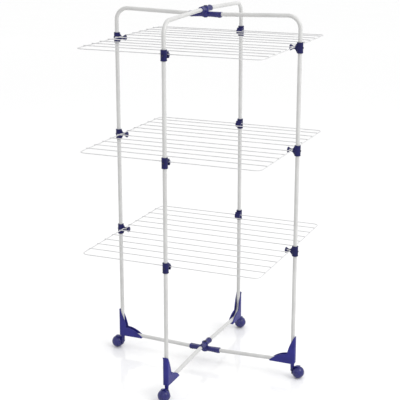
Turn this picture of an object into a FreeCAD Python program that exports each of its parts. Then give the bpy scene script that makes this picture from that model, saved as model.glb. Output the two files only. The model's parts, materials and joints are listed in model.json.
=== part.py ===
import FreeCAD, Part
import math
import os

V = FreeCAD.Vector

# Tower clothes airer. Origin on the floor under the pivot axis, +Z up, millimetres.
# Frame 1 stands in the XZ plane (posts left and right) and frame 2 in the YZ plane (posts front and back).

# driving dimensions of the tube frames
post_spacing = 780.0          # post axis to post axis, the same in both frames
tube_radius = 8.0
tube_wall = 1.0
top_bar_z = 1480.0            # bar height at the posts
bottom_bar_z = 71.0
corner_radius = 50.0          # bend of the tube's centre line
crossing_rise = 9.0           # how far each bar dips or rises where the frames cross
crossing_run = 85.0           # level part of a bar on each side of the axis
joggle_radius = 300.0         # soft bend where the level part begins
half_end_gap = 6.0            # from the axis to the end of each tube half

# shelves
shelf_names = ("low", "middle", "top")
shelf_heights = (553.0, 965.0, 1366.0)
wire_radius = 1.75
side_wire_x = 373.0
inner_rod_y = 43.0
edge_rod_y = 375.0
rods_per_half = 6
shelf_corner_radius = 25.0
pin_bend_radius = 5.0
hinge_y = 7.0                 # hinge axis of each half, from the plane of frame 1
hinge_drop = 3.5              # the bent wire lies one wire diameter under the rods

# plastic fittings on the posts
fit_gap = 0.15                # radial gap between a tube and the fitting on it
sleeve_radius = 12.0
sleeve_height = 42.0
bracket_drop = 7.0            # centre of a bracket under its shelf
clip_drop = 6.0
arm_thickness = 8.0
head_start = 20.0             # from the post axis inwards
head_end = 40.5
head_radius = 12.0
pin_depth = 38.0
pin_hole_gap = 0.07
pin_hole_spare = 0.4          # the hole runs on past the end of the pin
sleeve_rim = 1.2

# outline of a bracket's arm above its centre line: inwards from the post axis, height
arm_outline = ((8.5, 19.0), (12.0, 17.0), (17.0, 9.0), (22.0, 5.0), (28.0, 4.6))

# flare of a bracket's head: inwards from the post axis, radius
head_outline = (
    (head_start, 0.0),
    (head_start, 4.3),
    (head_start + 5.0, 5.4),
    (head_start + 11.0, 8.4),
    (head_end - 4.5, head_radius - 0.4),
    (head_end - 2.5, head_radius),
    (head_end - 0.8, head_radius - 0.7),
    (head_end, head_radius - 2.2),
    (head_end, 0.0),
)

# outer face of a clip's hook: inwards from the post axis, height from the edge rod's centre
hook_outline = (
    (17.5, 11.5),
    (20.0, 9.5),
    (20.8, 5.5),
    (24.5, 4.5),
    (27.5, 1.5),
    (28.4, -4.0),
    (27.0, -9.5),
    (23.5, -13.5),
    (19.0, -14.5),
)
hook_root = 8.0               # the hook starts inside the sleeve's wall
hook_half_width = 11.4
hook_edge = 1.1
slot_side_gap = 1.25          # rod to the slot's inner face
slot_roof_gap = 0.6
slot_roof_bevel = 1.5
slot_mouth_z = -12.0
slot_lip_z = -6.0
slot_lip_flare = 0.4

# crossing hubs
hub_end_radius = 12.4
hub_waist_radius = 10.3
lower_hub_half_length = 68.0
upper_hub_half_length = 48.0
boss_radius = 13.0
boss_height = 12.0
hub_face_gap = 0.25           # each hub stops this far from the plane between them
pivot_radius = 4.0
pivot_gap = 0.08
rivet_radius = 7.0
rivet_height = 2.6
joiner_half_length = 30.0
joiner_gap = 0.1
hub_waist_end = 0.38          # share of a hub's half length where its taper begins
hub_taper_end = 0.7
hub_waist_swell = 0.1
hub_shoulder = 0.9            # radius still to gain where the taper ends
hub_rim_length = 2.0
hub_rim_bevel = 1.2
boss_rim = 2.5
rivet_rim = 1.6
pressed_gap = 0.02            # round a pin or stem that is a press fit

# corner shoes
shoe_half_width = 11.5
channel_half_width = 8.3
shoe_outside = 12.0           # from the post axis to the outer face
shoe_under = 11.0             # from the bar's centre line to the underside
shoe_top = 108.0
shoe_tip = 98.0
shoe_notch_inward = 21.5      # where the two fins meet
shoe_notch_up = 28.5
upper_fin_inward = 11.5       # a point half way along each hollow edge
upper_fin_up = 65.0
lower_fin_inward = 58.0
lower_fin_up = 19.5
shoe_top_edge = 1.5
shoe_tip_edge = 2.0
shoe_tip_slope = 3.0
shoe_heel = 4.0
shoe_back_radius = 6.0
shoe_floor = 1.0              # solid under the bar's centre line, inwards of the bend
shoe_screw_inward = 60.0
socket_radius = 8.0
socket_overlap = 6.0
socket_rim = 1.0
socket_bottom_z = 48.5
stem_top_z = 84.0

# ball casters
ball_radius = 25.0
caster_offset = 26.0
wheel_inner_face = 3.4
wheel_outer_face = 24.3
stem_radius = 4.0
stem_gap = 0.08
stem_bottom_z = 40.0
plate_radius = 24.3           # the fork plate fills the gap between the wheels
hood_inner_radius = 25.8
hood_radius = 28.5
hood_half_width = 14.0
collar_radius = 7.6
collar_bottom_z = 28.0
collar_top_z = 48.0
axle_radius = 2.5
axle_gap = 0.06
axle_recess = 1.0             # from the wheel's outer face to the axle's end
plate_gap = 0.6               # between the fork plate and each wheel
plate_lap = 1.0               # the plate runs into the fender by this much
stem_chamfer = 0.8
groove_below_top = 6.0
groove_width = 1.6
groove_depth = 0.7
fender_front = (14.0, 60.0)   # the fender's sector, from the ball's centre
fender_back = (-60.0, -21.0)

# screws
screw_radius = 1.6
screw_gap = 0.05
screw_head_radius = 3.4
screw_head_height = 2.0
screw_head_rim = 0.9
screw_head_room = 0.3
short_screw = 6.5
long_screw = 8.0
hub_screw_inset = 10.0        # from the hub's end
hub_screw_seat = 1.0          # under the hub's end radius
rod_overhang = 1.0            # past the side wire
rod_end_edge = 0.5

half_spacing = post_spacing / 2
front_angle = 90.0            # frame 2 is frame 1 turned by a right angle

sides = {"right": 0.0, "left": 180.0}
frame2_sides = {"back": front_angle, "front": front_angle + 180.0}
crossings = {"top": top_bar_z, "bottom": bottom_bar_z}


def turned(shape, degrees):
    """A copy of the shape turned about the tower's axis."""
    result = shape.copy()
    result.rotate(V(0, 0, 0), V(0, 0, 1), degrees)
    return result


def save(name, shapes):
    """Writes one node from its solids."""
    solids = []
    for shape in shapes:
        solids.extend(shape.Solids)
    body = solids[0] if len(solids) == 1 else Part.makeCompound(solids)
    body.exportStep("parts/%s.step" % name)


def rounded_path(points, radii):
    """A wire through the points, with a tangent arc of the given radius at each inner point."""
    edges = []
    start = points[0]
    for before, corner, after, radius in zip(points, points[1:], points[2:], radii):
        inward = (corner - before).normalize()
        outward = (after - corner).normalize()
        half_turn = inward.getAngle(outward) / 2
        setback = radius * math.tan(half_turn)
        arc_start = corner - inward * setback
        arc_end = corner + outward * setback
        to_centre = (outward - inward).normalize()
        middle = corner + to_centre * (radius / math.cos(half_turn) - radius)
        edges.append(Part.LineSegment(start, arc_start).toShape())
        edges.append(Part.Arc(arc_start, middle, arc_end).toShape())
        start = arc_end
    edges.append(Part.LineSegment(start, points[-1]).toShape())
    return Part.Wire(edges)


def rod_along(path, radius):
    """A solid round bar along a wire."""
    first = path.Edges[0]
    start = first.valueAt(first.FirstParameter)
    direction = first.tangentAt(first.FirstParameter)
    section = Part.Wire(Part.Circle(start, direction, radius).toShape())
    return path.makePipeShell([section], True, True)


def prism_y(points, half_width):
    """A flat outline in the XZ plane, made thick along Y."""
    outline = Part.makePolygon([V(x, -half_width, z) for x, z in points + points[:1]])
    return Part.Face(outline).extrude(V(0, 2 * half_width, 0))


def turned_about_x(profile, z):
    """A closed (x, radius) outline revolved about a line along X at height z."""
    outline = Part.makePolygon([V(x, 0, z + r) for x, r in profile + profile[:1]])
    return Part.Face(outline).revolve(V(0, 0, z), V(1, 0, 0), 360)


def screw(seat, direction, length):
    """A pan-head screw whose head sits on the seat, with its shank along direction."""
    shank = Part.makeCylinder(screw_radius, length, seat, direction)
    head = Part.makeCylinder(screw_head_radius, screw_head_height, seat, direction * -1)
    rim = [edge for edge in head.Edges if edge.Closed]
    far_rim = max(rim, key=lambda edge: (edge.CenterOfMass - seat).Length)
    head = head.makeFillet(screw_head_rim, [far_rim])
    return head.fuse(shank).removeSplitter()


def screw_hole(seat, direction, length):
    """The clearance for a screw's shank."""
    return Part.makeCylinder(screw_radius + screw_gap, length, seat, direction)


def fitting_screws(rise):
    """Seat and direction of each screw on the right-hand side of a frame, as in the tubes' own frame."""
    places = []
    for height in shelf_heights:
        drop = bracket_drop if rise < 0 else clip_drop
        seat = V(half_spacing + sleeve_radius, 0, height - drop)
        places.append((seat, V(-1, 0, 0), short_screw))
    seat = V(half_spacing - shoe_screw_inward, 0, bottom_bar_z - shoe_under)
    places.append((seat, V(0, 0, 1), long_screw))
    hub_length = lower_hub_half_length if rise < 0 else upper_hub_half_length
    outside = -1 if rise < 0 else 1
    for bar_z in crossings.values():
        seat_z = bar_z + rise + outside * (hub_end_radius - hub_screw_seat)
        places.append((V(hub_length - hub_screw_inset, 0, seat_z), V(0, 0, -outside), short_screw))
    return places


def tube_points(rise):
    """The right-hand half of a frame's centre line, from the top crossing round to the bottom one."""
    return [
        V(half_end_gap, 0, top_bar_z + rise),
        V(crossing_run, 0, top_bar_z + rise),
        V(half_spacing, 0, top_bar_z),
        V(half_spacing, 0, bottom_bar_z),
        V(crossing_run, 0, bottom_bar_z + rise),
        V(half_end_gap, 0, bottom_bar_z + rise),
    ]


def tube_half(rise):
    """One C-shaped half of a tube frame, drilled for its screws."""
    bends = [joggle_radius, corner_radius, corner_radius, joggle_radius]
    path = rounded_path(tube_points(rise), bends)
    tube = rod_along(path, tube_radius).cut(rod_along(path, tube_radius - tube_wall))
    for seat, direction, length in fitting_screws(rise):
        tube = tube.cut(screw_hole(seat, direction, length))
    return tube


def joiner(rise, bar_z, pin_clearance):
    """The plug that bridges the two tube halves inside a hub, drilled for the pivot pin."""
    radius = tube_radius - tube_wall - joiner_gap
    start = V(-joiner_half_length, 0, bar_z + rise)
    plug = Part.makeCylinder(radius, 2 * joiner_half_length, start, V(1, 0, 0))
    hole_start = V(0, 0, bar_z + rise - 2 * radius)
    hole = Part.makeCylinder(pivot_radius + pin_clearance, 4 * radius, hole_start)
    return plug.cut(hole)


def hub(rise, bar_z, half_length, pin_clearance):
    """A flared sleeve over the bar with a round boss for the pivot, flat where it meets the other hub."""
    bar_centre = bar_z + rise
    outside = -1 if rise < 0 else 1
    bore = tube_radius + fit_gap
    half = [
        (0, hub_waist_radius),
        (half_length * hub_waist_end, hub_waist_radius + hub_waist_swell),
        (half_length * hub_taper_end, hub_end_radius - hub_shoulder),
        (half_length - hub_rim_length, hub_end_radius),
        (half_length, hub_end_radius - hub_rim_bevel),
        (half_length, bore),
    ]
    other_half = [(-x, r) for x, r in reversed(half[1:])]
    sleeve = turned_about_x(half + other_half, bar_centre)
    far = bar_centre + outside * boss_height
    boss_low = min(far, bar_z)
    boss = Part.makeCylinder(boss_radius, abs(far - bar_z), V(0, 0, boss_low))
    far_rim = max((e for e in boss.Edges if e.Closed), key=lambda e: outside * e.CenterOfMass.z)
    boss = boss.makeFillet(boss_rim, [far_rim])
    tunnel = Part.makeCylinder(bore, 2 * half_length, V(-half_length, 0, bar_centre), V(1, 0, 0))
    body = sleeve.fuse(boss.cut(tunnel)).removeSplitter()
    face = bar_z + outside * hub_face_gap
    reach = 2 * half_length
    slab_low = face if outside < 0 else face - reach
    slab = Part.makeBox(2 * reach, 2 * reach, reach, V(-reach, -reach, slab_low))
    body = body.cut(slab)
    pin = Part.makeCylinder(pivot_radius + pin_clearance, 2 * reach, V(0, 0, bar_z - reach))
    body = body.cut(pin)
    seat_z = bar_centre + outside * (hub_end_radius - hub_screw_seat)
    inwards = V(0, 0, -outside)
    for side in (1, -1):
        seat = V(side * (half_length - hub_screw_inset), 0, seat_z)
        body = body.cut(screw_hole(seat, inwards, short_screw))
        recess = Part.makeCylinder(screw_head_radius + screw_head_room, boss_height, seat, inwards * -1)
        body = body.cut(recess)
    return body


def pivot_pin(bar_z):
    """A riveted pin through both hubs and both joiners at one crossing."""
    reach = crossing_rise + boss_height
    shank = Part.makeCylinder(pivot_radius, 2 * reach, V(0, 0, bar_z - reach))
    pin = shank
    for side in (1, -1):
        seat = bar_z + side * (reach + (hub_face_gap if side > 0 else 0))
        low = seat if side > 0 else seat - rivet_height
        head = Part.makeCylinder(rivet_radius, rivet_height, V(0, 0, low))
        rim = max((e for e in head.Edges if e.Closed), key=lambda e: side * e.CenterOfMass.z)
        pin = pin.fuse(head.makeFillet(rivet_rim, [rim]))
    neck = Part.makeCylinder(pivot_radius, hub_face_gap, V(0, 0, bar_z + reach))
    return pin.fuse(neck).removeSplitter()


def sleeve_on_post(centre_z):
    """The round sleeve that both post fittings share, with softened rims."""
    low = V(half_spacing, 0, centre_z - sleeve_height / 2)
    body = Part.makeCylinder(sleeve_radius, sleeve_height, low)
    return body.makeFillet(sleeve_rim, [edge for edge in body.Edges if edge.Closed])


def finish_fitting(body, centre_z):
    """Bores a post fitting for the tube and drills it for its screw."""
    low = V(half_spacing, 0, centre_z - sleeve_height)
    body = body.cut(Part.makeCylinder(tube_radius + fit_gap, 2 * sleeve_height, low))
    seat = V(half_spacing + sleeve_radius, 0, centre_z)
    return body.cut(screw_hole(seat, V(-1, 0, 0), short_screw))


def hinge_bracket(shelf_z):
    """Right-hand bracket: a sleeve, a waisted arm and a flared head bored for the two hinge pins."""
    centre_z = shelf_z - bracket_drop
    upper = [(half_spacing - inward, centre_z + height) for inward, height in arm_outline]
    lower = [(half_spacing - inward, centre_z - height) for inward, height in reversed(arm_outline)]
    arm = prism_y(upper + lower, arm_thickness / 2)
    head = turned_about_x([(half_spacing - inward, r) for inward, r in head_outline], centre_z)
    body = sleeve_on_post(centre_z).fuse(arm).fuse(head).removeSplitter()
    for side in (1, -1):
        start = V(half_spacing - pin_depth - pin_hole_spare, side * hinge_y, shelf_z - hinge_drop)
        body = body.cut(Part.makeCylinder(wire_radius + pin_hole_gap, pin_depth, start, V(1, 0, 0)))
    return finish_fitting(body, centre_z)


def snap_clip(shelf_z):
    """Right-hand clip: a sleeve with a rounded hook over the shelf's edge rod, open underneath."""
    centre_z = shelf_z - clip_drop
    rod_inward = half_spacing - edge_rod_y
    rod_z = shelf_z - hinge_drop
    slot_roof = wire_radius + slot_roof_gap
    slot_side = rod_inward + wire_radius + slot_side_gap
    points = [(hook_root, hook_outline[0][1])]
    points += hook_outline
    points += [
        (slot_side + slot_lip_flare, slot_mouth_z),
        (slot_side, slot_lip_z),
        (slot_side, slot_roof - slot_roof_bevel),
        (slot_side - slot_roof_bevel, slot_roof),
        (hook_root, slot_roof),
    ]
    hook = prism_y([(half_spacing - inward, rod_z + up) for inward, up in points], hook_half_width)
    upright = [e for e in hook.Edges if abs(e.tangentAt(e.FirstParameter).y) < 0.01]
    outer = [e for e in upright if half_spacing - e.CenterOfMass.x > slot_side + 2 * hook_edge]
    hook = hook.makeFillet(hook_edge, outer)
    body = sleeve_on_post(centre_z).fuse(hook).removeSplitter()
    return finish_fitting(body, centre_z)


def shelf_half_frame(shelf_z):
    """Front half's bent wire: hinge pin, side wire, edge rod, side wire, hinge pin."""
    z = shelf_z - hinge_drop
    pin_x = half_spacing - pin_depth
    points = [
        V(pin_x, -hinge_y, z),
        V(side_wire_x, -hinge_y, z),
        V(side_wire_x, -edge_rod_y, z),
        V(-side_wire_x, -edge_rod_y, z),
        V(-side_wire_x, -hinge_y, z),
        V(-pin_x, -hinge_y, z),
    ]
    radii = [pin_bend_radius, shelf_corner_radius, shelf_corner_radius, pin_bend_radius]
    return rod_along(rounded_path(points, radii), wire_radius)


def shelf_half_rods(shelf_z):
    """The straight rods welded on top of the front half's side wires, each a solid of its own."""
    pitch = (edge_rod_y - inner_rod_y) / (rods_per_half - 1)
    length = 2 * (side_wire_x + rod_overhang)
    rods = []
    for index in range(rods_per_half - 1):
        start = V(-length / 2, -(inner_rod_y + index * pitch), shelf_z)
        rod = Part.makeCylinder(wire_radius, length, start, V(1, 0, 0))
        rods.append(rod.makeFillet(rod_end_edge, [edge for edge in rod.Edges if edge.Closed]))
    return rods


def shoe(rise):
    """Right-hand corner shoe: two fin-shaped cheeks, an outer web and a socket for the caster."""
    corner_x = half_spacing
    floor_z = bottom_bar_z - shoe_under

    def at(inward, up):
        return V(corner_x - inward, -shoe_half_width, bottom_bar_z + up)

    notch = at(shoe_notch_inward, shoe_notch_up)
    top = at(shoe_top_edge - shoe_outside, shoe_top)
    tip = at(shoe_tip, shoe_tip_edge - shoe_under)
    upper_fin = Part.Arc(top, at(upper_fin_inward, upper_fin_up), notch)
    lower_fin = Part.Arc(notch, at(lower_fin_inward, lower_fin_up), tip)
    corners = [
        tip,
        at(shoe_tip - shoe_tip_slope, -shoe_under),
        at(shoe_heel - shoe_outside, -shoe_under),
        at(-shoe_outside, shoe_heel - shoe_under),
        at(-shoe_outside, shoe_top),
        top,
    ]
    edges = [upper_fin.toShape(), lower_fin.toShape()]
    edges += [Part.LineSegment(a, b).toShape() for a, b in zip(corners, corners[1:])]
    body = Part.Face(Part.Wire(edges)).extrude(V(0, 2 * shoe_half_width, 0))
    back_edges = []
    for edge in body.Edges:
        upright = abs(edge.tangentAt(edge.FirstParameter).z) > 0.99
        outermost = edge.CenterOfMass.x > corner_x + shoe_outside - 0.1
        if upright and outermost and edge.Length > shoe_top / 2:
            back_edges.append(edge)
    body = body.makeFillet(shoe_back_radius, back_edges)
    socket_height = floor_z - socket_bottom_z + socket_overlap
    socket = Part.makeCylinder(socket_radius, socket_height, V(corner_x, 0, socket_bottom_z))
    lower_rim = min((e for e in socket.Edges if e.Closed), key=lambda e: e.CenterOfMass.z)
    body = body.fuse(socket.makeFillet(socket_rim, [lower_rim])).removeSplitter()
    return hollow_shoe(body, rise)


def hollow_shoe(body, rise):
    """Clears a shoe's channel for the bent tube, and bores it for the stem and its screw."""
    floor_z = bottom_bar_z - shoe_under
    bends = [joggle_radius, corner_radius, corner_radius, joggle_radius]
    path = rounded_path(tube_points(rise), bends)
    body = body.cut(rod_along(path, channel_half_width))

    # the channel is open on the inside of the bend
    bend_x = half_spacing - corner_radius
    bend_z = bottom_bar_z + corner_radius
    reach = 4 * corner_radius
    width = 2 * channel_half_width
    above = V(half_spacing - reach, -channel_half_width, bend_z)
    inside = V(bend_x - reach, -channel_half_width, bottom_bar_z + shoe_floor)
    bend_centre = V(bend_x, -channel_half_width, bend_z)
    body = body.cut(Part.makeBox(reach, width, reach, above))
    body = body.cut(Part.makeBox(reach, width, reach, inside))
    body = body.cut(Part.makeCylinder(corner_radius, width, bend_centre, V(0, 1, 0)))

    hole_start = V(half_spacing, 0, socket_bottom_z - socket_rim)
    hole_height = stem_top_z + socket_rim - hole_start.z
    body = body.cut(Part.makeCylinder(stem_radius + stem_gap, hole_height, hole_start))
    seat = V(half_spacing - shoe_screw_inward, 0, floor_z)
    return body.cut(screw_hole(seat, V(0, 0, 1), long_screw))


def caster_stem():
    """Steel stem with a retaining groove near its top."""
    length = stem_top_z - stem_bottom_z
    stem = Part.makeCylinder(stem_radius, length, V(half_spacing, 0, stem_bottom_z))
    stem = stem.makeChamfer(stem_chamfer, [edge for edge in stem.Edges if edge.Closed])
    ring_start = V(half_spacing, 0, stem_top_z - groove_below_top)
    groove = Part.makeCylinder(2 * stem_radius, groove_width, ring_start)
    core = Part.makeCylinder(stem_radius - groove_depth, groove_width, ring_start)
    return stem.cut(groove.cut(core))


def caster_hood():
    """Round fork plate between the wheels, with a fender on the stem's side and a collar for the stem."""
    centre = V(half_spacing + caster_offset, 0, ball_radius)

    def drum(radius, half_width):
        return Part.makeCylinder(radius, 2 * half_width, centre - V(0, half_width, 0), V(0, 1, 0))

    shell = Part.makeSphere(hood_radius, centre).common(drum(hood_radius, hood_half_width))
    shell = shell.cut(drum(hood_inner_radius, hood_half_width + 1))
    corners = [(0.0, 0.0), fender_front, (fender_back[0], fender_front[1]), fender_back]
    sector = prism_y([(centre.x + x, centre.z + z) for x, z in corners], ball_radius)
    fender = shell.common(sector)
    plate = drum(hood_inner_radius + plate_lap, wheel_inner_face - plate_gap).common(sector)
    plate = plate.fuse(drum(plate_radius, wheel_inner_face - plate_gap))
    collar_height = collar_top_z - collar_bottom_z
    collar = Part.makeCylinder(collar_radius, collar_height, V(half_spacing, 0, collar_bottom_z))
    collar = collar.cut(drum(hood_inner_radius, hood_half_width + 1))
    body = fender.fuse(plate).fuse(collar).removeSplitter()
    stem_hole = Part.makeCylinder(stem_radius + pressed_gap, collar_top_z, V(half_spacing, 0, stem_bottom_z))
    body = body.cut(stem_hole)
    return body.cut(drum(axle_radius + axle_gap, hood_half_width))


def caster_wheels():
    """Two domed wheels that together make the ball."""
    centre = V(half_spacing + caster_offset, 0, ball_radius)
    ball = Part.makeSphere(ball_radius, centre)
    reach = 2 * ball_radius
    bore = Part.makeCylinder(axle_radius, 2 * reach, centre - V(0, reach, 0), V(0, 1, 0))
    width = wheel_outer_face - wheel_inner_face
    wheels = []
    for side in (1, -1):
        low = wheel_inner_face if side > 0 else -wheel_outer_face
        slab = Part.makeBox(2 * reach, width, 2 * reach, centre + V(-reach, low, -reach))
        wheels.append(ball.common(slab).cut(bore))
    return wheels


def caster_axle():
    """Steel axle pressed into both wheels."""
    centre = V(half_spacing + caster_offset, 0, ball_radius)
    half_length = wheel_outer_face - axle_recess
    return Part.makeCylinder(axle_radius, 2 * half_length, centre - V(0, half_length, 0), V(0, 1, 0))


def build():
    os.makedirs("parts", exist_ok=True)
    rises = {"frame1": -crossing_rise, "frame2": crossing_rise}
    turns = {"frame1": sides, "frame2": frame2_sides}
    hub_names = {"frame1": "lower", "frame2": "upper"}
    hub_lengths = {"frame1": lower_hub_half_length, "frame2": upper_hub_half_length}
    hub_turn = {"frame1": 0.0, "frame2": front_angle}
    pin_clearances = {"frame1": pressed_gap, "frame2": pivot_gap}

    for frame, rise in rises.items():
        tube = tube_half(rise)
        shoe_body = shoe(rise)
        for side, angle in turns[frame].items():
            save("%s_tube_%s" % (frame, side), [turned(tube, angle)])
            save("shoe_%s" % side, [turned(shoe_body, angle)])
        clearance = pin_clearances[frame]
        joiners = [joiner(rise, bar_z, clearance) for bar_z in crossings.values()]
        save("%s_joiners" % frame, [turned(plug, hub_turn[frame]) for plug in joiners])
        for place, bar_z in crossings.items():
            body = hub(rise, bar_z, hub_lengths[frame], clearance)
            save("%s_hub_%s" % (place, hub_names[frame]), [turned(body, hub_turn[frame])])
        screws = [screw(*place) for place in fitting_screws(rise)]
        save("%s_screws" % frame, [turned(s, a) for a in turns[frame].values() for s in screws])

    for place, bar_z in crossings.items():
        save("%s_pivot_pin" % place, [pivot_pin(bar_z)])

    for name, height in zip(shelf_names, shelf_heights):
        bracket = hinge_bracket(height)
        for side, angle in sides.items():
            save("hinge_bracket_%s_%s" % (name, side), [turned(bracket, angle)])
        clip = snap_clip(height)
        for side, angle in frame2_sides.items():
            save("snap_clip_%s_%s" % (name, side), [turned(clip, angle)])
        bent_wire = shelf_half_frame(height)
        rods = shelf_half_rods(height)
        for side, angle in (("front", 0.0), ("back", 180.0)):
            save("shelf_%s_%s_frame" % (name, side), [turned(bent_wire, angle)])
            save("shelf_%s_%s_rods" % (name, side), [turned(rod, angle) for rod in rods])

    caster = {
        "stem": [caster_stem()],
        "hood": [caster_hood()],
        "wheels": caster_wheels(),
        "axle": [caster_axle()],
    }
    for side, angle in list(sides.items()) + list(frame2_sides.items()):
        for piece, shapes in caster.items():
            save("caster_%s_%s" % (side, piece), [turned(shape, angle) for shape in shapes])


build()
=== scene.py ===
import json
import math

import bmesh
import bpy
from mathutils import Matrix, Vector


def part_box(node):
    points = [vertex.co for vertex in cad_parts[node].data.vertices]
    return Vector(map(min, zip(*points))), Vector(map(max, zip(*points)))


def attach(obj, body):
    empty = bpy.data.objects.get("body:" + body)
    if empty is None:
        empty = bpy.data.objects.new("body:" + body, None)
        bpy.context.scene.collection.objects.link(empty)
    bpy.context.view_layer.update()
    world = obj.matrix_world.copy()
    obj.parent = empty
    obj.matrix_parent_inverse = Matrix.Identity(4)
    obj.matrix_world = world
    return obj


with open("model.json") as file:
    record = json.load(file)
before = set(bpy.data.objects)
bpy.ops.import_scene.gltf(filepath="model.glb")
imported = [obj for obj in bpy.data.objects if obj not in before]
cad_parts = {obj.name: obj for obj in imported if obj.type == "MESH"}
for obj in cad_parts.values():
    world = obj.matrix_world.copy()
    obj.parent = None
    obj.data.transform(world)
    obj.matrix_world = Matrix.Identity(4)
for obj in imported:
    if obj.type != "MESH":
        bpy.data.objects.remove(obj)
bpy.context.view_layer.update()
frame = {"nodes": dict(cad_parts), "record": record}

nodes = frame["nodes"]
print("stage: frame loaded,", len(nodes), "nodes")

levels = ("low", "middle", "top")
postSides = {"right": 0.0, "back": 90.0, "left": 180.0, "front": 270.0}  # degrees about the tower's axis
postBody = {"right": "frame_one", "left": "frame_one", "front": "frame_two", "back": "frame_two"}


# a bare node tree with one shader, and the coordinates its textures read
def newMaterial(name):
    material = bpy.data.materials.new(name)
    material.use_nodes = True
    tree = material.node_tree
    tree.nodes.clear()
    output = tree.nodes.new("ShaderNodeOutputMaterial")
    shader = tree.nodes.new("ShaderNodeBsdfPrincipled")
    tree.links.new(shader.outputs["BSDF"], output.inputs["Surface"])
    coords = tree.nodes.new("ShaderNodeTexCoord")
    return material, tree, shader, coords.outputs["Object"]


# noise comes out between 0 and 1, mostly between 0.3 and 0.7
def noise(tree, vector, scale, detail=3.0, roughness=0.55):
    node = tree.nodes.new("ShaderNodeTexNoise")
    node.inputs["Scale"].default_value = scale
    node.inputs["Detail"].default_value = detail
    node.inputs["Roughness"].default_value = roughness
    tree.links.new(vector, node.inputs["Vector"])
    return node.outputs["Fac"]


def ramp(tree, value, stops):
    node = tree.nodes.new("ShaderNodeValToRGB")
    elements = node.color_ramp.elements
    while len(elements) < len(stops):
        elements.new(0.5)  # placed below
    for element, (place, colour) in zip(elements, stops):
        element.position = place
        element.color = (*colour, 1.0)
    tree.links.new(value, node.inputs["Fac"])
    return node.outputs["Color"]


def spread(tree, value, low, high, fromLow=0.3, fromHigh=0.7):
    node = tree.nodes.new("ShaderNodeMapRange")
    node.inputs["From Min"].default_value = fromLow
    node.inputs["From Max"].default_value = fromHigh
    node.inputs["To Min"].default_value = low
    node.inputs["To Max"].default_value = high
    tree.links.new(value, node.inputs["Value"])
    return node.outputs["Result"]


def bump(tree, height, strength, distance, before=None):
    node = tree.nodes.new("ShaderNodeBump")
    node.inputs["Strength"].default_value = strength
    node.inputs["Distance"].default_value = distance
    tree.links.new(height, node.inputs["Height"])
    if before is not None:
        tree.links.new(before, node.inputs["Normal"])
    return node.outputs["Normal"]


# colour mottling, roughness clouds and one or two scales of relief over a moulded or coated surface
def surfaceMaterial(name, settings):
    material, tree, shader, coords = newMaterial(name)
    clouds = noise(tree, coords, settings["cloudScale"], detail=4.0)
    colour = ramp(tree, clouds, [(0.3, settings["dark"]), (0.7, settings["light"])])
    tree.links.new(colour, shader.inputs["Base Color"])
    smears = noise(tree, coords, settings["smearScale"], detail=5.0, roughness=0.65)
    rough = spread(tree, smears, *settings["roughness"])
    tree.links.new(rough, shader.inputs["Roughness"])
    normal = None
    for scale, strength, distance in settings["relief"]:
        normal = bump(tree, noise(tree, coords, scale, detail=2.0), strength, distance, normal)
    tree.links.new(normal, shader.inputs["Normal"])
    for socket, value in settings.get("sockets", {}).items():
        shader.inputs[socket].default_value = value
    return material


tubePaint = surfaceMaterial("tubePowderCoat", {
    "dark": (0.50, 0.50, 0.493), "light": (0.565, 0.565, 0.557),
    "cloudScale": 14.0, "smearScale": 45.0, "roughness": (0.30, 0.42),
    "relief": [(520.0, 0.10, 0.0004), (60.0, 0.05, 0.001)],
    "sockets": {"Coat Weight": 0.25, "Coat Roughness": 0.12, "Specular IOR Level": 0.5},
})
wireCoat = surfaceMaterial("wireDipCoat", {
    "dark": (0.50, 0.50, 0.505), "light": (0.58, 0.58, 0.585),
    "cloudScale": 30.0, "smearScale": 90.0, "roughness": (0.28, 0.42),
    "relief": [(700.0, 0.12, 0.0003), (110.0, 0.08, 0.0008)],
    "sockets": {"Coat Weight": 0.3, "Coat Roughness": 0.1},
})
fittingPlastic = surfaceMaterial("fittingPlastic", {
    "dark": (0.0050, 0.0055, 0.056), "light": (0.0090, 0.0092, 0.088),
    "cloudScale": 40.0, "smearScale": 140.0, "roughness": (0.34, 0.50),
    "relief": [(1500.0, 0.14, 0.0002), (160.0, 0.06, 0.0006)],
    "sockets": {"Specular IOR Level": 0.24},
})
shoePlastic = surfaceMaterial("shoePlastic", {
    "dark": (0.014, 0.014, 0.150), "light": (0.020, 0.019, 0.205),
    "cloudScale": 30.0, "smearScale": 110.0, "roughness": (0.34, 0.50),
    "relief": [(1500.0, 0.14, 0.0002), (140.0, 0.06, 0.0006)],
    "sockets": {"Specular IOR Level": 0.29},
})
hubPlastic = surfaceMaterial("hubPlastic", {
    "dark": (0.010, 0.010, 0.096), "light": (0.018, 0.018, 0.158),
    "cloudScale": 60.0, "smearScale": 120.0, "roughness": (0.28, 0.44),
    "relief": [(1500.0, 0.14, 0.0002), (150.0, 0.06, 0.0006)],
    "sockets": {"Specular IOR Level": 0.42},
})
casterPlastic = surfaceMaterial("casterPlastic", {
    "dark": (0.010, 0.010, 0.106), "light": (0.015, 0.015, 0.148),
    "cloudScale": 50.0, "smearScale": 150.0, "roughness": (0.15, 0.27),
    "relief": [(1700.0, 0.10, 0.0002), (200.0, 0.05, 0.0005)],
    "sockets": {"Specular IOR Level": 0.48},
})
innerPlastic = surfaceMaterial("innerPlastic", {
    "dark": (0.45, 0.45, 0.45), "light": (0.55, 0.55, 0.55),
    "cloudScale": 30.0, "smearScale": 90.0, "roughness": (0.4, 0.6),
    "relief": [(1200.0, 0.15, 0.0003)],
})
darkSteel = surfaceMaterial("darkSteel", {
    "dark": (0.030, 0.030, 0.045), "light": (0.055, 0.055, 0.075),
    "cloudScale": 120.0, "smearScale": 260.0, "roughness": (0.22, 0.42),
    "relief": [(900.0, 0.15, 0.0002)],
    "sockets": {"Metallic": 1.0},
})

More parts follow.
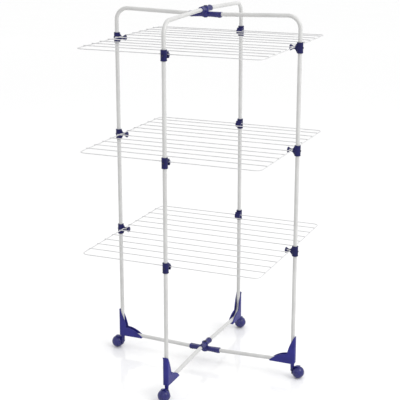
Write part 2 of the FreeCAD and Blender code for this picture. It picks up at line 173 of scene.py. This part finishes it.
bySlot = {
    "tube_coating": tubePaint,
    "wire_coating": wireCoat,
    "fitting_plastic": fittingPlastic,
    "shoe_plastic": shoePlastic,
    "caster_plastic": casterPlastic,
    "inner_plastic": innerPlastic,
    "steel": darkSteel,
}
for entry in frame["record"]["subparts"]:
    node = nodes[entry["node"]]
    node.data.materials.clear()
    finish = hubPlastic if "_hub_" in entry["node"] else bySlot[entry["material_slot"]]
    node.data.materials.append(finish)
print("stage: materials on the frame")


# the working mesh becomes a smooth-shaded piece that rides on a body
def makePiece(name, work, material, body):
    bmesh.ops.recalc_face_normals(work, faces=work.faces)
    mesh = bpy.data.meshes.new(name)
    work.to_mesh(mesh)
    work.free()
    mesh.polygons.foreach_set("use_smooth", [True] * len(mesh.polygons))
    mesh.materials.append(material)
    piece = bpy.data.objects.new(name, mesh)
    bpy.context.collection.objects.link(piece)
    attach(piece, body)
    return piece


def sideTurn(side):
    return Matrix.Rotation(math.radians(postSides[side]), 4, "Z")


# a torus about the given axis, spun from a small circle
def addRing(work, place, axis, major, minor, steps=36, sides=8):
    axis = Vector(axis).normalized()
    across = axis.orthogonal().normalized()
    # the small circle stands in the plane of the ring's radius and its axis
    turn = Matrix((across, axis, across.cross(axis))).transposed().to_4x4()
    start = Matrix.Translation(Vector(place) + across * major) @ turn
    circle = bmesh.ops.create_circle(work, segments=sides, radius=minor, matrix=start)
    edges = list({edge for vert in circle["verts"] for edge in vert.link_edges})
    bmesh.ops.spin(work, geom=circle["verts"] + edges, cent=place, axis=axis,
                   angle=2 * math.pi, steps=steps, use_merge=True)


# a round bar through the points, grown from a circle ring by ring
def addTube(work, points, radius, sides=8, tip=0.6):
    points = [Vector(point) for point in points]
    along = (points[1] - points[0]).normalized()
    place = Matrix.Translation(points[0]) @ along.to_track_quat("Z", "Y").to_matrix().to_4x4()
    circle = bmesh.ops.create_circle(work, cap_ends=True, segments=sides, radius=radius, matrix=place)
    edges = list({edge for vert in circle["verts"] for edge in vert.link_edges})
    caps = [edges[0].link_faces[0]]
    for before, here, after in zip(points, points[1:], points[2:] + points[-1:]):
        grown = bmesh.ops.extrude_edge_only(work, edges=edges)["geom"]
        verts = [item for item in grown if isinstance(item, bmesh.types.BMVert)]
        edges = [item for item in grown if isinstance(item, bmesh.types.BMEdge)]
        onward = (after - before).normalized()
        bend = along.rotation_difference(onward).to_matrix()
        bmesh.ops.translate(work, vec=here - before, verts=verts)
        bmesh.ops.rotate(work, cent=here, matrix=bend, verts=verts)
        along = onward
    caps += bmesh.ops.edgeloop_fill(work, edges=edges)["faces"]
    bmesh.ops.recalc_face_normals(work, faces=work.faces)
    bmesh.ops.poke(work, faces=caps, offset=radius * tip)  # blunt tips instead of flat ends


def addBead(work, place, radii):
    matrix = Matrix.Translation(place) @ Matrix.Diagonal((*radii, 1.0))
    bmesh.ops.create_icosphere(work, subdivisions=2, radius=1.0, matrix=matrix)


# points on the arc through three points of one plane
def arcThrough(first, middle, last, count):
    a, b, c = Vector(first), Vector(middle), Vector(last)
    ab, ac = b - a, c - a
    normal = ab.cross(ac)
    toCentre = (normal.cross(ab) * ac.length_squared + ac.cross(normal) * ab.length_squared)
    centre = a + toCentre / (2 * normal.length_squared)
    start = a - centre
    axis = normal.normalized()
    whole = start.angle(b - centre) + (b - centre).angle(c - centre)
    return [centre + Matrix.Rotation(whole * k / count, 3, axis) @ start for k in range(count + 1)]


# weld beads where each rod of a shelf crosses the side wires
weldDetail = {
    "rods": 5, "wireRadius": 0.00175,
    "beadRadii": (0.0030, 0.0036, 0.0024), "drop": 0.0018,
}


def makeWelds(level, side):
    rodsLow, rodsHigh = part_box("shelf_%s_%s_rods" % (level, side))
    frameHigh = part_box("shelf_%s_%s_frame" % (level, side))[1]
    radius = weldDetail["wireRadius"]
    firstY = rodsLow[1] + radius
    pitch = (rodsHigh[1] - radius - firstY) / (weldDetail["rods"] - 1)
    sideWire = frameHigh[0] - radius
    height = (rodsLow[2] + rodsHigh[2]) / 2 - weldDetail["drop"]
    work = bmesh.new()
    for index in range(weldDetail["rods"]):
        for x in (-sideWire, sideWire):
            addBead(work, (x, firstY + index * pitch, height), weldDetail["beadRadii"])
    makePiece("welds_%s_%s" % (level, side), work, wireCoat, "shelf_%s_%s" % (level, side))


for level in levels:
    for side in ("front", "back"):
        makeWelds(level, side)
print("stage: weld beads")


# moulded rims and parting lines on the post fittings
fittingDetail = {
    "sleeve": 0.012, "sunk": 0.0001,
    "rimRadius": 0.0010, "rimInset": 0.0017, "seamRadius": 0.00035,
}
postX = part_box("hinge_bracket_low_right")[1][0] - fittingDetail["sleeve"]  # from the tower's axis to a post's


def makeRims(level, side):
    kind = "hinge_bracket" if postBody[side] == "frame_one" else "snap_clip"
    low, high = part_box("%s_%s_%s" % (kind, level, side))
    centreZ = (low[2] + high[2]) / 2
    reach = (high[2] - low[2]) / 2 - fittingDetail["rimInset"]
    radius = fittingDetail["sleeve"] - fittingDetail["sunk"]
    work = bmesh.new()
    for step in (-1, 1):
        place = (postX, 0, centreZ + step * reach)
        addRing(work, place, (0, 0, 1), radius, fittingDetail["rimRadius"])
    for y in (-radius, radius):
        seam = [(postX, y, centreZ + step * reach) for step in (-1, 0, 1)]
        addTube(work, seam, fittingDetail["seamRadius"], sides=6)
    bmesh.ops.transform(work, matrix=sideTurn(side), verts=work.verts)
    makePiece("fitting_rims_%s_%s" % (level, side), work, fittingPlastic, postBody[side])


for level in levels:
    for side in postSides:
        makeRims(level, side)
print("stage: fitting rims")


# beads along the fins of the corner shoes; a fin's points are inwards of the post and above the bar
shoeDetail = {
    "height": 0.108, "sunk": 0.0003, "beadRadius": 0.0011,
    "upperFin": ((-0.0097, 0.1065), (0.0108, 0.0645), (0.0207, 0.0277)),
    "lowerFin": ((0.0207, 0.0277), (0.0578, 0.0187), (0.0972, -0.0094)),
    "steps": 14,
}


def makeShoeBeads(side):
    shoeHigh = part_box("shoe_right")[1]
    halfWidth = shoeHigh[1] - shoeDetail["sunk"]
    barZ = shoeHigh[2] - shoeDetail["height"]
    work = bmesh.new()
    for y in (-halfWidth, halfWidth):
        for fin in ("upperFin", "lowerFin"):
            ends = [(postX - inward, y, barZ + up) for inward, up in shoeDetail[fin]]
            addTube(work, arcThrough(*ends, shoeDetail["steps"]), shoeDetail["beadRadius"])
    bmesh.ops.transform(work, matrix=sideTurn(side), verts=work.verts)
    makePiece("shoe_beads_%s" % side, work, shoePlastic, postBody[side])


for side in postSides:
    makeShoeBeads(side)
print("stage: shoe beads")


# ribs along the hub sleeves; the profile is the share of a sleeve's half length, and the radius there
hubDetail = {
    "lower": {"outside": -1, "side": "right"},
    "upper": {"outside": 1, "side": "back"},
    "endRadius": 0.0124,
    "profile": ((0.20, 0.0103), (0.38, 0.0104), (0.70, 0.0115), (0.95, 0.0123)),
    "ribRadius": 0.0011, "ribAngles": (0.0, 50.0, 90.0, 130.0, 180.0),
}


def makeHubRibs(place, which):
    outside = hubDetail[which]["outside"]
    side = hubDetail[which]["side"]
    low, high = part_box("%s_hub_%s" % (place, which))
    length = max(high[0], high[1])
    outerZ = low[2] if outside < 0 else high[2]
    centreZ = outerZ - outside * hubDetail["endRadius"]
    work = bmesh.new()
    for end in (-1, 1):
        for degrees in hubDetail["ribAngles"]:
            angle = math.radians(degrees)
            points = []
            for along, radius in hubDetail["profile"]:
                y = radius * math.cos(angle)
                z = centreZ + outside * radius * math.sin(angle)
                points.append((end * along * length, y, z))
            addTube(work, points, hubDetail["ribRadius"], sides=6)
    bmesh.ops.transform(work, matrix=sideTurn(side), verts=work.verts)
    makePiece("hub_ribs_%s_%s" % (place, which), work, hubPlastic, postBody[side])


for place in ("top", "bottom"):
    for which in ("lower", "upper"):
        makeHubRibs(place, which)
print("stage: hub ribs")


# rings and caps on the domed wheels, each ring by its radius and its thickness
casterDetail = {
    "rings": ((0.0185, 0.0007), (0.0085, 0.0006)),
    "capSunk": 0.0003, "capRadii": (0.0056, 0.0009, 0.0056),
}


def makeCasterRings(side):
    low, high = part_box("caster_right_wheels")
    centre = (Vector(low) + Vector(high)) / 2
    ball = centre.z  # the ball stands on the floor
    capAt = high[1] - casterDetail["capSunk"]
    work = bmesh.new()
    for step in (-1, 1):
        for major, minor in casterDetail["rings"]:
            offset = min(math.sqrt(ball ** 2 - major ** 2), capAt)
            addRing(work, centre + Vector((0, step * offset, 0)), (0, 1, 0), major, minor)
        addBead(work, centre + Vector((0, step * capAt, 0)), casterDetail["capRadii"])
    bmesh.ops.transform(work, matrix=sideTurn(side), verts=work.verts)
    makePiece("caster_rings_%s" % side, work, casterPlastic, "caster_%s_wheel" % side)


for side in postSides:
    makeCasterRings(side)
print("stage: caster rings")


floorSettings = {
    "size": 30.0, "depth": -0.0002, "colour": (0.88, 0.88, 0.88),
    "smearScale": 3.0, "roughness": (0.05, 0.08),
}


def makeFloor():
    mesh = bpy.data.meshes.new("floor")
    work = bmesh.new()
    bmesh.ops.create_grid(work, x_segments=1, y_segments=1, size=floorSettings["size"])
    work.to_mesh(mesh)
    work.free()
    floor = bpy.data.objects.new("floor", mesh)
    bpy.context.collection.objects.link(floor)
    floor.location.z = floorSettings["depth"]
    material, tree, shader, coords = newMaterial("floorSheet")
    smears = noise(tree, coords, floorSettings["smearScale"])
    tree.links.new(spread(tree, smears, *floorSettings["roughness"]), shader.inputs["Roughness"])
    shader.inputs["Base Color"].default_value = (*floorSettings["colour"], 1.0)
    mesh.materials.append(material)


areaLights = {
    "keyLight": {"place": (3.4, -0.6, 3.2), "size": 2.4, "power": 60.0},
    "fillLight": {"place": (0.6, -4.2, 3.4), "size": 3.0, "power": 16.0},
}
middleOfTower = Vector((0.0, 0.0, 0.75))


def makeArea(name, settings):
    data = bpy.data.lights.new(name, "AREA")
    data.shape = "DISK"
    data.size = settings["size"]
    data.energy = settings["power"]
    light = bpy.data.objects.new(name, data)
    bpy.context.collection.objects.link(light)
    light.location = settings["place"]
    light.rotation_mode = "QUATERNION"
    light.rotation_quaternion = (middleOfTower - light.location).to_track_quat("-Z", "Y")


# a white room whose soft light is dimmer on the left and brighter overhead; reflections see plain walls
roomSettings = {"dim": 0.56, "bright": 1.18, "zenith": 0.34, "wall": 1.03, "rightward": (0.920, 0.392, 0.0)}


def makeWorld():
    world = bpy.data.worlds.new("studio")
    bpy.context.scene.world = world
    world.use_nodes = True
    tree = world.node_tree
    background = tree.nodes["Background"]
    background.inputs["Color"].default_value = (1.0, 1.0, 1.0, 1.0)
    coords = tree.nodes.new("ShaderNodeTexCoord")
    across = tree.nodes.new("ShaderNodeVectorMath")
    across.operation = "DOT_PRODUCT"
    across.inputs[1].default_value = roomSettings["rightward"]
    tree.links.new(coords.outputs["Generated"], across.inputs[0])
    level = spread(tree, across.outputs["Value"], roomSettings["dim"], roomSettings["bright"], -1.0, 1.0)
    split = tree.nodes.new("ShaderNodeSeparateXYZ")
    tree.links.new(coords.outputs["Generated"], split.inputs[0])
    above = spread(tree, split.outputs["Z"], 0.0, roomSettings["zenith"], 0.0, 1.0)
    total = tree.nodes.new("ShaderNodeMath")
    total.operation = "ADD"
    tree.links.new(level, total.inputs[0])
    tree.links.new(above, total.inputs[1])
    path = tree.nodes.new("ShaderNodeLightPath")
    choice = tree.nodes.new("ShaderNodeMix")
    choice.data_type = "FLOAT"
    choice.inputs["A"].default_value = roomSettings["wall"]
    tree.links.new(path.outputs["Is Diffuse Ray"], choice.inputs["Factor"])
    tree.links.new(total.outputs["Value"], choice.inputs["B"])
    tree.links.new(choice.outputs["Result"], background.inputs["Strength"])


cameraSettings = {
    "place": (1.682, -4.006, 1.943), "toward": (-0.3769, 0.8854, -0.2720),
    "lens": 99.35, "sensor": 36.0, "farthest": 100.0,
}


def makeCamera():
    data = bpy.data.cameras.new("camera")
    data.lens = cameraSettings["lens"]
    data.sensor_width = cameraSettings["sensor"]
    data.clip_end = cameraSettings["farthest"]
    camera = bpy.data.objects.new("camera", data)
    bpy.context.collection.objects.link(camera)
    camera.location = cameraSettings["place"]
    camera.rotation_mode = "QUATERNION"
    camera.rotation_quaternion = Vector(cameraSettings["toward"]).to_track_quat("-Z", "Y")
    bpy.context.scene.camera = camera


makeFloor()
makeWorld()
for name, settings in areaLights.items():
    makeArea(name, settings)
makeCamera()
bpy.context.scene.view_settings.view_transform = "Standard"
print("stage: floor, light and camera")
